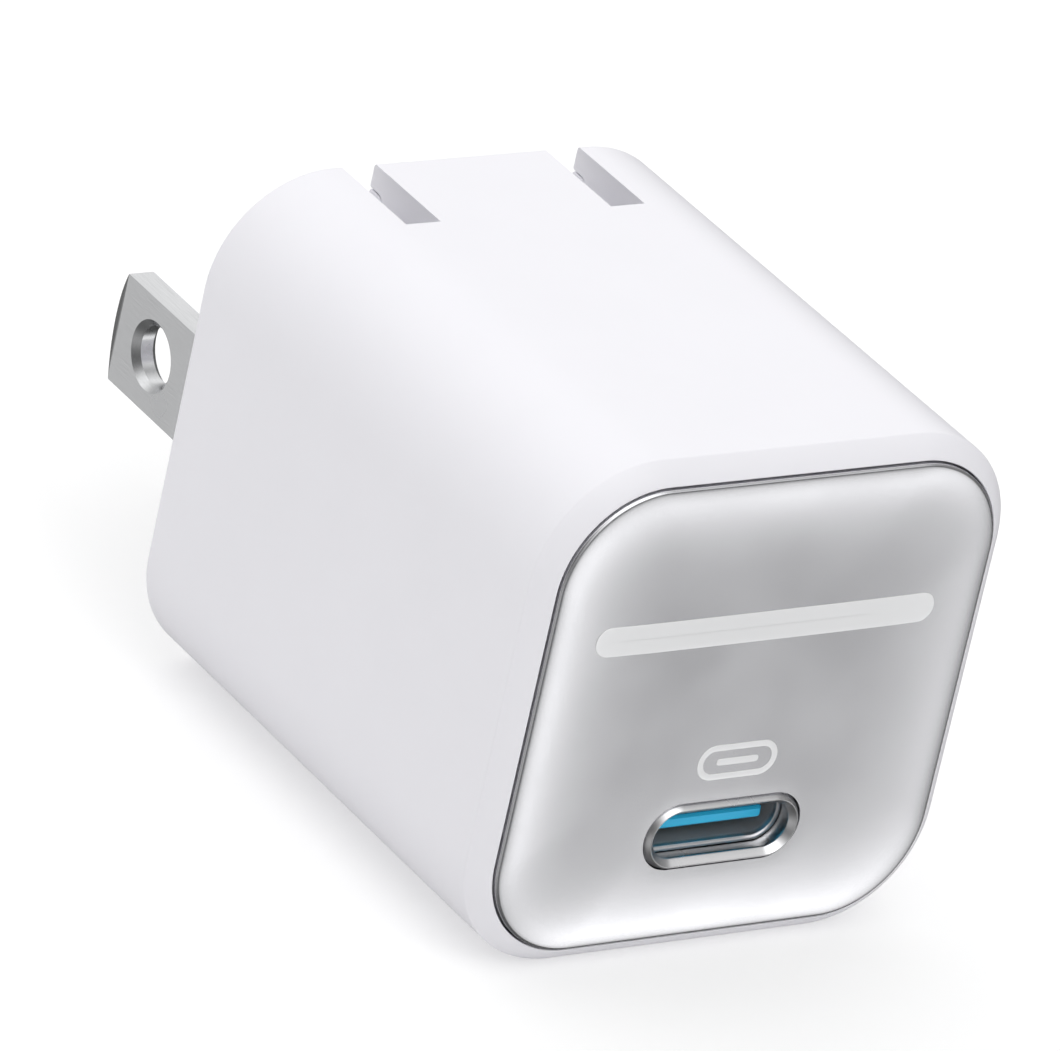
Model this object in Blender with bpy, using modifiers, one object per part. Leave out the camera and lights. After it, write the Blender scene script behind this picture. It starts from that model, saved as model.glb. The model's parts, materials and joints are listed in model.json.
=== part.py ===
"""Compact one-port USB-C wall charger with a folding two-blade plug.

Frame: +Z up, +Y out of the plug face along the blades, +X to the right seen from the front.
The origin is in the plane of the plug face, half way between the two blades.
The blades fold up, about +X, by 90 degrees into the slots of the top face.

Every length below is in millimetres and is scaled to metres by MM.
"""

import math

import bmesh
import bpy
from mathutils import Matrix, Vector

MM = 0.001

# ---------------------------------------------------------------- driving dimensions
BODY_HALF = 14.37          # half of the square cross-section
BODY_CORNER = 6.47         # corner radius of the cross-section
BODY_Z = 3.90              # centre of the cross-section above the blades' centreline
RIM_Y = -33.18             # front rim of the shell
SEAM_Y = -33.36            # edge of the front panel
RIM_CHAMFER = 1.01         # slightly convex chamfer round the front rim
WALL = 1.90
CORNER_STEPS = 7

COVER_THICK = 1.30         # plug-side cover, let into the rear opening
COVER_RIM = 1.35           # shell wall left round the cover
SEAM_GAP = 0.10

PANEL_HALF = 13.20
PANEL_CORNER = 5.47
PANEL_BACK_Y = -32.15
GROOVE_HALF = 13.30        # inside of the shell's front rim
LEDGE_Y = -30.70           # ledge that the front frame rests on

PORT_Z = -3.10
RING_HALF_W, RING_HALF_H = 4.75, 1.90
RING_LIP = 0.335           # 45 degree lead-in inside the ring's crest
RING_FRONT_Y, RING_BACK_Y = -33.98, -32.53
USB_HALF_W, USB_HALF_H, USB_WALL = 4.47, 1.58, 0.30
USB_FRONT_Y, USB_BACK_Y = -32.43, -25.20
TONGUE_HALF_W, TONGUE_HALF_H, TONGUE_FRONT_Y = 3.345, 0.35, -32.40

BLADE_PITCH = 12.70        # standard spacing of the two blades
BLADE_WIDE = 6.35
BLADE_THICK = 1.52
BLADE_TIP_Y = 18.00
BLADE_CROWN = 1.00         # height of the rounded tip
BLADE_HOLE_Y = 13.52
BLADE_HOLE_R, BLADE_SINK_R = 1.62, 2.00
BLADE_STEP_Y = 0.12        # inboard of this the blade is coined thinner, to enter its carrier
BLADE_RELIEF = 0.05        # by this much on each side

SLOT_WIDE = 2.10
SLOT_DEEP = 6.60
SLOT_FLOOR_Z = -3.40       # lower end of the slots in the cover
FOLD_RECESS = 0.10         # a folded blade lies this far inside the plug face
TIP_RECESS = 0.37          # and its tip this far below the top face

# The hinge axis follows from folding a blade flush into its slot.
_SUM = -BLADE_WIDE / 2 - FOLD_RECESS
_DIFF = BODY_Z + BODY_HALF - TIP_RECESS - BLADE_TIP_Y
HINGE_Y = (_SUM - _DIFF) / 2
HINGE_Z = (_SUM + _DIFF) / 2
HINGE = Vector((0.0, HINGE_Y, HINGE_Z))
JOURNAL_R = 0.95
HUB_R = 3.40
COLLAR_R = 3.00
HEEL_Y = -3.90

# ---------------------------------------------------------------- start from an empty scene
for old in list(bpy.data.objects):
    bpy.data.objects.remove(old, do_unlink=True)

scene = bpy.context.scene
scene.unit_settings.system = "METRIC"
scene.unit_settings.scale_length = 1.0


def collection(name):
    made = bpy.data.collections.new(name)
    scene.collection.children.link(made)
    return made


PARTS = collection("usb_c_wall_charger")
CUTTERS = collection("cutters")


def material(name, rgb, roughness, metallic=0.0):
    made = bpy.data.materials.new(name)
    made.use_nodes = True
    made.diffuse_color = (*rgb, 1.0)
    shader = made.node_tree.nodes["Principled BSDF"]
    shader.inputs["Base Color"].default_value = (*rgb, 1.0)
    shader.inputs["Roughness"].default_value = roughness
    shader.inputs["Metallic"].default_value = metallic
    return made


# ---------------------------------------------------------------- shapes, in millimetres
def finish(bm, name, mat=None, helper=False):
    """The mesh in metres as an object: a part, or a helper that is never rendered."""
    bmesh.ops.scale(bm, vec=(MM, MM, MM), verts=bm.verts)
    bmesh.ops.recalc_face_normals(bm, faces=bm.faces)
    mesh = bpy.data.meshes.new(name)
    bm.to_mesh(mesh)
    bm.free()
    made = bpy.data.objects.new(name, mesh)
    if helper:
        CUTTERS.objects.link(made)
        made.hide_render = True
        made.display_type = "WIRE"
    else:
        PARTS.objects.link(made)
        mesh.materials.append(mat)
        mesh.shade_smooth()
        mesh.set_sharp_from_angle(angle=math.radians(32))
    return made


def box_mesh(x0, x1, y0, y1, z0, z1):
    bm = bmesh.new()
    bmesh.ops.create_cube(bm, size=1.0)
    bmesh.ops.scale(bm, vec=(x1 - x0, y1 - y0, z1 - z0), verts=bm.verts)
    bmesh.ops.translate(bm, vec=((x0 + x1) / 2, (y0 + y1) / 2, (z0 + z1) / 2), verts=bm.verts)
    return bm


def round_edges(bm, pick, radius, steps, bulge=0.5):
    edges = [edge for edge in bm.edges if pick(*(vert.co for vert in edge.verts))]
    bmesh.ops.bevel(
        bm, geom=edges, offset=radius, offset_type="OFFSET", segments=steps,
        profile=bulge, affect="EDGES", clamp_overlap=True,
    )


def along(axis):
    """Picks the edges parallel to one axis."""
    others = [k for k in range(3) if k != axis]
    return lambda a, b: all(abs(a[k] - b[k]) < 1e-6 for k in others)


def prism(half_x, half_z, y0, y1, z=BODY_Z, x=0.0, corner=0.0, steps=CORNER_STEPS):
    """A block along Y with its four long edges rounded."""
    bm = box_mesh(x - half_x, x + half_x, y0, y1, z - half_z, z + half_z)
    if corner:
        round_edges(bm, along(1), min(corner, half_x - 0.002, half_z - 0.002), steps)
    return bm


def bar(x0, x1, y0, y1, z0, z1, axis=None, corner=0.0, steps=2):
    bm = box_mesh(x0, x1, y0, y1, z0, z1)
    if corner:
        round_edges(bm, along(axis), corner, steps)
    return bm


def rod(radius, length, centre, axis=0, steps=24, radius_end=None):
    """A cylinder or a cone, centred, along X, Y or Z."""
    bm = bmesh.new()
    turn = (
        Matrix.Rotation(math.pi / 2, 4, "Y"),
        Matrix.Rotation(-math.pi / 2, 4, "X"),
        Matrix.Identity(4),
    )[axis]
    bmesh.ops.create_cone(
        bm, cap_ends=True, cap_tris=False, segments=steps, radius1=radius,
        radius2=radius if radius_end is None else radius_end, depth=length,
        matrix=Matrix.Translation(Vector(centre)) @ turn,
    )
    return bm


def turned(name, profile, mat, at, axis, steps=16):
    """A profile of (radius, height), top to bottom, turned by a Screw modifier."""
    bm = bmesh.new()
    verts = [bm.verts.new((r, 0.0, h)) for r, h in profile]
    for first, second in zip(verts, verts[1:]):
        bm.edges.new((first, second))
    made = finish(bm, name, mat)
    screw = made.modifiers.new("turn", "SCREW")
    screw.axis = "Z"
    screw.angle = 2 * math.pi
    screw.steps = screw.render_steps = steps
    screw.use_merge_vertices = True
    screw.merge_threshold = 0.00001
    screw.use_normal_calculate = False
    made.location = Vector(at) * MM
    made.rotation_euler = {
        "+Y": (-math.pi / 2, 0, 0), "-Y": (math.pi / 2, 0, 0),
        "+X": (0, math.pi / 2, 0), "+Z": (0, 0, 0),
    }[axis]
    return made


def sheet_strip(name, path, width, thick, mat, plane="XY", centre=0.0):
    """A bent strip: an open path drawn in one plane, as wide as given across it, thickened by Solidify."""
    bm = bmesh.new()
    rows = []
    for side in (-width / 2, width / 2):
        row = []
        for first, second in path:
            if plane == "XY":
                row.append(bm.verts.new((first, second, centre + side)))
            else:
                row.append(bm.verts.new((centre + side, first, second)))
        rows.append(row)
    for k in range(len(path) - 1):
        bm.faces.new((rows[0][k], rows[0][k + 1], rows[1][k + 1], rows[1][k]))
    made = finish(bm, name, mat)
    solid = made.modifiers.new("thickness", "SOLIDIFY")
    solid.thickness = thick * MM
    solid.offset = 0.0
    solid.use_even_offset = True
    return made


def boolean(target, operation, bm, label):
    helper = finish(bm, target.name + "_" + label, helper=True)
    step = target.modifiers.new(label, "BOOLEAN")
    step.operation = operation
    step.solver = "EXACT"
    step.object = helper
    return helper


def cut(target, bm, label):
    return boolean(target, "DIFFERENCE", bm, label)


def join(target, bm, label):
    return boolean(target, "UNION", bm, label)


def keep(target, bm, label):
    return boolean(target, "INTERSECT", bm, label)


def bevel(target, width, steps=1, angle=40.0):
    step = target.modifiers.new("edges", "BEVEL")
    step.width = width * MM
    step.segments = steps
    step.limit_method = "ANGLE"
    step.angle_limit = math.radians(angle)
    step.harden_normals = False
    return step


# ---------------------------------------------------------------- materials
WHITE = material("shell_white", (0.86, 0.86, 0.88), 0.42)
COVER = material("cover_white", (0.85, 0.85, 0.87), 0.45)
SILVER = material("panel_silver", (0.62, 0.62, 0.64), 0.30, 0.85)
FRAME = material("frame_grey", (0.16, 0.16, 0.17), 0.55)
CHROME = material("ring_chrome", (0.78, 0.78, 0.80), 0.08, 1.0)
STEEL = material("port_steel", (0.66, 0.66, 0.68), 0.25, 1.0)
BLUE = material("tongue_blue", (0.02, 0.42, 0.85), 0.35)
GOLD = material("contact_gold", (0.90, 0.68, 0.28), 0.22, 1.0)
NICKEL = material("blade_nickel", (0.62, 0.61, 0.60), 0.28, 1.0)
NYLON = material("hub_nylon", (0.80, 0.80, 0.78), 0.5)
COPPER = material("spring_copper", (0.78, 0.46, 0.26), 0.3, 1.0)
BOARD = material("board_green", (0.03, 0.20, 0.10), 0.5)
CHIP = material("chip_black", (0.03, 0.03, 0.03), 0.55)
CAN = material("capacitor_sleeve", (0.06, 0.06, 0.08), 0.4)
POLYMER = material("capacitor_polymer", (0.70, 0.58, 0.22), 0.5)
FILM = material("film_yellow", (0.85, 0.72, 0.18), 0.5)
DISC_BLUE = material("disc_blue", (0.05, 0.20, 0.55), 0.5)
FUSE = material("fuse_ceramic", (0.72, 0.68, 0.62), 0.4)
FERRITE = material("ferrite_grey", (0.12, 0.12, 0.12), 0.7)
WIRE = material("winding_enamel", (0.62, 0.26, 0.10), 0.35, 0.6)
TAPE = material("winding_tape", (0.90, 0.74, 0.12), 0.45)
BOBBIN = material("bobbin_black", (0.05, 0.05, 0.05), 0.5)
PAD = material("pad_grey", (0.45, 0.47, 0.50), 0.8)
SPREADER = material("spreader_aluminium", (0.70, 0.70, 0.72), 0.35, 1.0)
LINER = material("liner_film", (0.88, 0.86, 0.78), 0.3)

# ---------------------------------------------------------------- shell
bm = prism(BODY_HALF, BODY_HALF, RIM_Y, 0.0, corner=BODY_CORNER, steps=9)
front = lambda a, b: abs(a.y - RIM_Y) < 1e-6 and abs(b.y - RIM_Y) < 1e-6
round_edges(bm, front, RIM_CHAMFER, 3, bulge=0.31)
main_shell = finish(bm, "main_shell", WHITE)
cavity_half = BODY_HALF - WALL
cut(main_shell, prism(cavity_half, cavity_half, LEDGE_Y - 3.0, 1.0, corner=BODY_CORNER - WALL), "cavity")
cut(main_shell, prism(GROOVE_HALF, GROOVE_HALF, RIM_Y - 1.0, LEDGE_Y, corner=PANEL_CORNER + 0.10, steps=8), "front_rebate")
rebate_half = BODY_HALF - COVER_RIM
cut(main_shell, prism(rebate_half, rebate_half, -COVER_THICK - 0.05, 1.0, corner=BODY_CORNER - COVER_RIM), "rear_rebate")
POCKET_WALL = 0.90
POCKET_FLOOR_Z = 3.90
for side, label in ((-1, "left"), (1, "right")):
    x = side * BLADE_PITCH / 2
    half = SLOT_WIDE / 2 + POCKET_WALL
    join(main_shell, box_mesh(x - half, x + half, -SLOT_DEEP - POCKET_WALL, -COVER_THICK - 0.12,
                              POCKET_FLOOR_Z, BODY_Z + cavity_half + 0.9), "pocket_" + label)
for side, label in ((-1, "left"), (1, "right")):
    x = side * BLADE_PITCH / 2
    cut(main_shell, box_mesh(x - SLOT_WIDE / 2, x + SLOT_WIDE / 2, -SLOT_DEEP, 2.0,
                             POCKET_FLOOR_Z - 1.0, BODY_Z + BODY_HALF + 1.0), "slot_" + label)

# ---------------------------------------------------------------- plug-side cover
cover_half = rebate_half - SEAM_GAP
rear_cover = finish(prism(cover_half, cover_half, -COVER_THICK, 0.0, corner=BODY_CORNER - COVER_RIM - SEAM_GAP, steps=7),
                    "rear_cover", COVER)
for side, label in ((-1, "left"), (1, "right")):
    x = side * BLADE_PITCH / 2
    cut(rear_cover, box_mesh(x - SLOT_WIDE / 2, x + SLOT_WIDE / 2, -COVER_THICK - 1.0, 1.0,
                             SLOT_FLOOR_Z, BODY_Z + BODY_HALF + 1.0), "slot_" + label)
cut(rear_cover, rod(JOURNAL_R + 0.10, 21.8, HINGE, axis=0), "journal_channel")

# ---------------------------------------------------------------- front frame, panel and port ring
front_frame = finish(prism(GROOVE_HALF - 0.12, GROOVE_HALF - 0.12, -31.95, LEDGE_Y - 0.10, corner=PANEL_CORNER - 0.02, steps=8),
                     "front_frame", FRAME)
join(front_frame, prism(cavity_half - 0.15, cavity_half - 0.15, LEDGE_Y - 0.40, -29.30, corner=BODY_CORNER - WALL - 0.15), "skirt")
cut(front_frame, prism(cavity_half - 1.15, cavity_half - 1.15, -30.90, -28.50, corner=BODY_CORNER - WALL - 1.15), "hollow")
cut(front_frame, prism(USB_HALF_W + 0.25, USB_HALF_H + 0.25, -33.0, -28.0, z=PORT_Z, corner=9.0, steps=8), "port_opening")

bm = prism(PANEL_HALF, PANEL_HALF, SEAM_Y, PANEL_BACK_Y, corner=PANEL_CORNER, steps=8)
# The pillow: the front face is stepped inwards and outwards along a flattening curve.
PILLOW_RISE, PILLOW_REACH = 0.28, 5.0
stops = (0.0, 0.14, 0.40, 0.9, 1.7, 2.9, 5.0)
rise = lambda d: PILLOW_RISE * (1.0 - (1.0 - d / PILLOW_REACH) ** 2.6)
for near, far in zip(stops, stops[1:]):
    bm.faces.ensure_lookup_table()
    bm.normal_update()
    face = min((f for f in bm.faces if f.normal.y < -0.99), key=lambda f: f.calc_center_median().y)
    bmesh.ops.inset_region(bm, faces=[face], thickness=far - near, depth=rise(far) - rise(near),
                           use_even_offset=True, use_boundary=True)
front_panel = finish(bm, "front_panel", SILVER)
cut(front_panel, prism(RING_HALF_W + 0.08, RING_HALF_H + 0.08, -35.0, -31.0, z=PORT_Z, corner=9.0, steps=8), "port_opening")



def slot_loop(half_w, half_h, y, steps=8):
    """Points round a slot with semicircular ends, centred on the port."""
    loop = []
    for side in (1, -1):
        for k in range(2 * steps + 1):
            turn = math.pi * (k / (2 * steps) - 0.5)
            loop.append((side * (half_w - half_h + half_h * math.cos(turn)), y, PORT_Z + side * half_h * math.sin(turn)))
    return loop


def turned_ring(sections):
    """A closed ring whose section is a list of (half width, half height, y)."""
    bm = bmesh.new()
    rows = [[bm.verts.new(point) for point in slot_loop(*section)] for section in sections]
    count = len(rows[0])
    for first, second in zip(rows, rows[1:] + rows[:1]):
        for k in range(count):
            n = (k + 1) % count
            bm.faces.new((first[k], first[n], second[n], second[k]))
    return bm


# The ring has a sloping band outside its crest and a lead-in inside it; its mouth widens again behind the lead-in.
CREST_W, CREST_H = RING_HALF_W - 0.28, RING_HALF_H - 0.26
port_trim_ring = finish(turned_ring((
    (RING_HALF_W, RING_HALF_H, RING_BACK_Y),
    (RING_HALF_W, RING_HALF_H, RING_FRONT_Y + 0.38),
    (RING_HALF_W - 0.12, RING_HALF_H - 0.11, RING_FRONT_Y + 0.17),
    (CREST_W + 0.02, CREST_H + 0.02, RING_FRONT_Y),
    (CREST_W - 0.02, CREST_H - 0.02, RING_FRONT_Y + 0.01),
    (CREST_W - RING_LIP, CREST_H - RING_LIP, RING_FRONT_Y + RING_LIP),
    (CREST_W - 0.07, CREST_H - 0.07, RING_BACK_Y),
)), "port_trim_ring", CHROME)

# ---------------------------------------------------------------- USB-C receptacle
usb_c_shell = finish(prism(USB_HALF_W, USB_HALF_H, USB_FRONT_Y, USB_BACK_Y, z=PORT_Z, corner=9.0, steps=8),
                     "usb_c_shell", STEEL)
cut(usb_c_shell, prism(USB_HALF_W - USB_WALL, USB_HALF_H - USB_WALL, USB_FRONT_Y - 1, USB_BACK_Y + 1, z=PORT_Z,
                       corner=9.0, steps=8), "bore")
TONGUE_ROOT_Y = -27.0
usb_c_tongue = finish(prism(USB_HALF_W - USB_WALL - 0.08, USB_HALF_H - USB_WALL - 0.08, TONGUE_ROOT_Y, USB_BACK_Y - 0.15,
                            z=PORT_Z, corner=9.0, steps=6), "usb_c_tongue", BLUE)
join(usb_c_tongue, bar(-TONGUE_HALF_W, TONGUE_HALF_W, TONGUE_FRONT_Y, TONGUE_ROOT_Y + 0.6,
                       PORT_Z - TONGUE_HALF_H, PORT_Z + TONGUE_HALF_H, axis=1, corner=0.12, steps=2), "blade")
CONTACT_PITCH, CONTACT_WIDE, CONTACT_THICK = 0.50, 0.25, 0.08
for name, up in (("usb_c_contacts_upper", 1), ("usb_c_contacts_lower", -1)):
    near = PORT_Z + up * (TONGUE_HALF_H + 0.03)
    far = near + up * CONTACT_THICK
    low, high = sorted((near, far))
    row = finish(box_mesh(-2.95, 2.95, -27.45, TONGUE_ROOT_Y - 0.06, low, high), name, GOLD)
    for k in range(12):
        x = (k - 5.5) * CONTACT_PITCH
        start = -31.75 if k in (0, 3, 8, 11) else -31.45
        join(row, box_mesh(x - CONTACT_WIDE / 2, x + CONTACT_WIDE / 2, start, -27.3, low + 0.005, high - 0.005), "finger_%02d" % k)

# ---------------------------------------------------------------- port board
port_board = finish(bar(-10.4, 10.4, -25.0, -24.2, -5.30, 10.50, axis=1, corner=1.2, steps=3), "port_board", BOARD)
finish(bar(-2.2, 2.2, -26.05, -25.15, 6.0, 10.0, axis=1, corner=0.25, steps=1), "protocol_chip", CHIP)
for name, x0, x1 in (("output_capacitor_1", -8.2, -0.9), ("output_capacitor_2", 0.9, 8.2)):
    finish(bar(x0, x1, -28.0, -25.2, 0.4, 4.7, axis=1, corner=0.3, steps=1), name, POLYMER)

# ---------------------------------------------------------------- folding plug, built about the hinge axis
hinge_axis = bpy.data.objects.new("hinge_axis", None)
hinge_axis.empty_display_size = 4 * MM
PARTS.objects.link(hinge_axis)
hinge_axis.location = HINGE * MM


def on_hinge(bm):
    """Moves a mesh made in the part's frame so that the hinge axis is its origin."""
    bmesh.ops.translate(bm, vec=-HINGE, verts=bm.verts)
    return bm


def ride(obj):
    obj.parent = hinge_axis
    return obj


def arc(centre, radius, start, end, steps):
    return [
        (centre[0] + radius * math.cos(math.radians(start + (end - start) * k / steps)),
         centre[1] + radius * math.sin(math.radians(start + (end - start) * k / steps)))
        for k in range(steps + 1)
    ]


def blade_outline():
    """(y, z) of one blade, anticlockwise: crowned tip, top edge, heel, and a corner round the hinge."""
    half = BLADE_WIDE / 2
    radius = (half * half + BLADE_CROWN * BLADE_CROWN) / (2 * BLADE_CROWN)
    reach = math.degrees(math.asin(half / radius))
    tip = arc((BLADE_TIP_Y - radius, 0.0), radius, -reach, reach, 12)
    heel = [(-2.70, half), (-3.30, half - 0.14), (HEEL_Y, half - 0.55), (HEEL_Y, HINGE_Z + 1.2)]
    lower = HINGE_Z + half
    corner = arc((HINGE_Y, HINGE_Z), lower, 180, 270, 8)
    return tip + heel + [(corner[0][0], HINGE_Z + 0.5)] + corner


def countersunk(x, steps=28):
    """The blade's hole: a bore that opens into a 45 degree sink on each face."""
    half, deep, out = BLADE_THICK / 2, BLADE_SINK_R - BLADE_HOLE_R, 0.4
    bm = bmesh.new()
    rows = []
    for dx, radius in ((-half - out, BLADE_SINK_R + out), (-half + deep, BLADE_HOLE_R),
                       (half - deep, BLADE_HOLE_R), (half + out, BLADE_SINK_R + out)):
        turns = [math.tau * (k + 0.5) / steps for k in range(steps)]
        rows.append([bm.verts.new((x + dx, BLADE_HOLE_Y + radius * math.cos(t), radius * math.sin(t))) for t in turns])
    for first, second in zip(rows, rows[1:]):
        for k in range(steps):
            n = (k + 1) % steps
            bm.faces.new((first[k], first[n], second[n], second[k]))
    bm.faces.new(rows[0])
    bm.faces.new(rows[-1])
    bmesh.ops.recalc_face_normals(bm, faces=bm.faces)
    return bm


def blade(name, x):
    bm = bmesh.new()
    verts = [bm.verts.new((x - BLADE_THICK / 2, y, z)) for y, z in blade_outline()]
    face = bm.faces.new(verts)
    made = bmesh.ops.extrude_face_region(bm, geom=[face])
    moved = [g for g in made["geom"] if isinstance(g, bmesh.types.BMVert)]
    bmesh.ops.translate(bm, vec=(BLADE_THICK, 0, 0), verts=moved)
    obj = ride(finish(on_hinge(bm), name, NICKEL))
    # Both faces are chamfered from the straight line across the tip to the crowned edge.
    start_y = BLADE_TIP_Y - BLADE_CROWN
    slope = math.atan2(0.40, BLADE_CROWN)
    for side, label in ((-1, "chamfer_a"), (1, "chamfer_b")):
        wedge = box_mesh(0, 3, -1.0, 4, -5, 5)
        bmesh.ops.rotate(wedge, verts=wedge.verts, cent=(0, 0, 0), matrix=Matrix.Rotation(slope, 3, "Z"))
        if side < 0:
            bmesh.ops.scale(wedge, vec=(-1, 1, 1), verts=wedge.verts)
        bmesh.ops.translate(wedge, vec=(x + side * BLADE_THICK / 2, start_y, 0), verts=wedge.verts)
        ride(cut(obj, on_hinge(wedge), label))
    ride(cut(obj, on_hinge(countersunk(x)), "hole"))
    for side, label in ((-1, "relief_a"), (1, "relief_b")):
        x0, x1 = sorted((x + side * (BLADE_THICK / 2 - BLADE_RELIEF), x + side * 3.0))
        ride(cut(obj, on_hinge(box_mesh(x0, x1, -9.0, BLADE_STEP_Y, -9.0, 9.0)), label))
    ride(cut(obj, on_hinge(rod(JOURNAL_R + 0.05, 6, (x, HINGE_Y, HINGE_Z), axis=0)), "journal_hole"))
    return obj


blade_left = blade("blade_left", -BLADE_PITCH / 2)
blade_right = blade("blade_right", BLADE_PITCH / 2)

# The carrier is a quarter-round hub between the blades, a collar outside each, and one journal right across.
BLADE_IN = BLADE_PITCH / 2 - BLADE_THICK / 2
BLADE_OUT = BLADE_PITCH / 2 + BLADE_THICK / 2
JOURNAL_END = 10.6


def quarter(radius, x0, x1):
    """A quarter disc on the inner, upper side of the hinge axis."""
    bm = bmesh.new()
    lead = 0.10
    rim = arc((0, 0), radius, 90, 180, 10)
    points = [(lead, radius)] + rim + [(-radius, -lead), (lead, -lead)]
    verts = [bm.verts.new((x0, y, z)) for y, z in points]
    face = bm.faces.new(verts)
    made = bmesh.ops.extrude_face_region(bm, geom=[face])
    moved = [g for g in made["geom"] if isinstance(g, bmesh.types.BMVert)]
    bmesh.ops.translate(bm, vec=(x1 - x0, 0, 0), verts=moved)
    return bm


blade_carrier = ride(finish(rod(JOURNAL_R, 2 * JOURNAL_END, (0, 0, 0), axis=0), "blade_carrier", NYLON))
ride(join(blade_carrier, quarter(HUB_R, -BLADE_IN + 0.08, BLADE_IN - 0.08), "hub"))
ride(join(blade_carrier, quarter(COLLAR_R, BLADE_OUT + 0.12, BLADE_OUT + 1.5), "collar_right"))
ride(join(blade_carrier, quarter(COLLAR_R, -BLADE_OUT - 1.5, -BLADE_OUT - 0.12), "collar_left"))

# ---------------------------------------------------------------- hinge retainer and springs
hinge_retainer = finish(box_mesh(-10.9, 10.9, -8.20, -7.40, -6.9, 3.40), "hinge_retainer", NYLON)
join(hinge_retainer, box_mesh(-10.3, 10.3, -8.00, -1.50, -6.9, -6.10), "floor")
for side, label in ((-1, "left"), (1, "right")):
    x0, x1 = sorted((side * 9.7, side * 10.85))
    join(hinge_retainer, box_mesh(x0, x1, -7.9, -1.45, -6.5, 1.0), "cheek_" + label)
    s0, s1 = sorted((side * 8.55, side * 9.45))
    cut(hinge_retainer, box_mesh(s0, s1, -9.0, -6.0, 1.45, 3.30), "spring_slot_" + label)
cut(hinge_retainer, rod(JOURNAL_R + 0.10, 24.0, HINGE, axis=0), "saddle")

for name, side in (("contact_spring_left", -1), ("contact_spring_right", 1)):
    touch = side * (BLADE_OUT + 0.10 + 0.13)
    path = [(side * 9.0, -9.9), (side * 9.0, -7.0), (side * 8.5, -5.8), (touch, -3.9), (touch, -2.6), (side * 7.75, -2.1)]
    sheet_strip(name, path, 1.25, 0.25, COPPER, plane="XY", centre=2.38)
sheet_strip("detent_spring", [(-7.20, 3.0), (-7.20, 1.4), (-5.32, -0.4), (-5.30, -3.0), (-6.2, -4.8)], 6.0, 0.25, STEEL, plane="YZ")

# ---------------------------------------------------------------- mains input
input_board = finish(bar(-10.6, 10.6, -9.30, -8.50, -5.30, 6.80, axis=1, corner=1.0, steps=2), "input_board", BOARD)
for side, label in ((-1, "left"), (1, "right")):
    s0, s1 = sorted((side * 8.6, side * 9.4))
    cut(input_board, box_mesh(s0, s1, -10.0, -8.0, 1.5, 3.25), "spring_hole_" + label)

turned("input_fuse", [(0, 4.0), (1.25, 4.0), (1.25, 2.7), (1.05, 2.6), (1.05, -2.6), (1.25, -2.7), (1.25, -4.0), (0, -4.0)],
       FUSE, (-5.4, -10.95, -3.2), "+X", steps=14)
turned("surge_varistor", [(0, 1.2), (2.5, 1.2), (3.2, 0.6), (3.2, -0.6), (2.5, -1.2), (0, -1.2)],
       DISC_BLUE, (-4.6, -11.0, 2.6), "+Y", steps=16)
finish(bar(1.6, 7.8, -11.2, -9.5, -3.0, 1.8, axis=1, corner=0.3, steps=1), "bridge_rectifier", CHIP)

finish(bar(2.7, 11.0, -23.2, -17.2, -5.20, 4.60, axis=2, corner=0.6, steps=2), "x_capacitor", FILM)
turned("y_capacitor", [(0, 1.1), (1.6, 1.1), (2.1, 0.5), (2.1, -0.5), (1.6, -1.1), (0, -1.1)],
       DISC_BLUE, (6.9, -14.6, -3.2), "+Y", steps=14)

CHOKE = (6.9, -14.7, 2.9)


def ring_cutter(target, radius, half):
    return cut(target, rod(radius, half, CHOKE, axis=1, steps=20), "bore")


choke_core = finish(rod(3.10, 2.50, CHOKE, axis=1, steps=20), "choke_core", FERRITE)
ring_cutter(choke_core, 1.60, 6.0)
for name, x0, x1 in (("choke_winding_a", -5.0, -0.45), ("choke_winding_b", 0.45, 5.0)):
    winding = finish(rod(3.65, 3.60, CHOKE, axis=1, steps=20), name, WIRE)
    ring_cutter(winding, 1.05, 6.0)
    tunnel = rod(3.22, 2.74, CHOKE, axis=1, steps=20)
    helper = cut(winding, tunnel, "tunnel")
    core = helper.modifiers.new("post", "BOOLEAN")
    core.operation, core.solver = "DIFFERENCE", "EXACT"
    core.object = finish(rod(1.48, 8.0, CHOKE, axis=1, steps=20), name + "_post", helper=True)
    keep(winding, box_mesh(CHOKE[0] + x0, CHOKE[0] + x1, -20, -10, -3, 9), "side")

# ---------------------------------------------------------------- bulk capacitors, side by side along the top
for k, x in enumerate((-7.6, 0.0, 7.6)):
    r, tall = 3.68, 12.6
    turned("bulk_capacitor_%d" % (k + 1),
           [(0, tall - 0.25), (r - 0.9, tall - 0.25), (r - 0.9, tall), (r - 0.35, tall), (r, tall - 0.4), (r, 2.3),
            (r - 0.35, 1.9), (r - 0.35, 1.5), (r, 1.1), (r, 0.25), (r - 0.3, 0), (0, 0)],
           CAN, (x, -10.7, 11.4), "-Y", steps=16)

# ---------------------------------------------------------------- transformer, wound about Y
TX, TZ = -4.75, 0.95
CORE_HALF_W, CORE_HALF_H = 6.45, 5.9
for name, back, inner, label in (("transformer_core_rear", -12.6, -14.8, 1), ("transformer_core_front", -23.5, -21.3, -1)):
    meet = -18.05 + 0.05 * label
    core = finish(box_mesh(TX - CORE_HALF_W, TX + CORE_HALF_W, min(back, inner), max(back, inner), TZ - CORE_HALF_H, TZ + CORE_HALF_H),
                  name, FERRITE)
    y0, y1 = sorted((meet, (back + inner) / 2))
    join(core, box_mesh(TX - CORE_HALF_W, TX - CORE_HALF_W + 1.6, y0, y1, TZ - CORE_HALF_H, TZ + CORE_HALF_H), "leg_left")
    join(core, box_mesh(TX + CORE_HALF_W - 1.6, TX + CORE_HALF_W, y0, y1, TZ - CORE_HALF_H, TZ + CORE_HALF_H), "leg_right")
    join(core, rod(2.45, y1 - y0, (TX, (y0 + y1) / 2, TZ), axis=1, steps=20), "centre_post")
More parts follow.
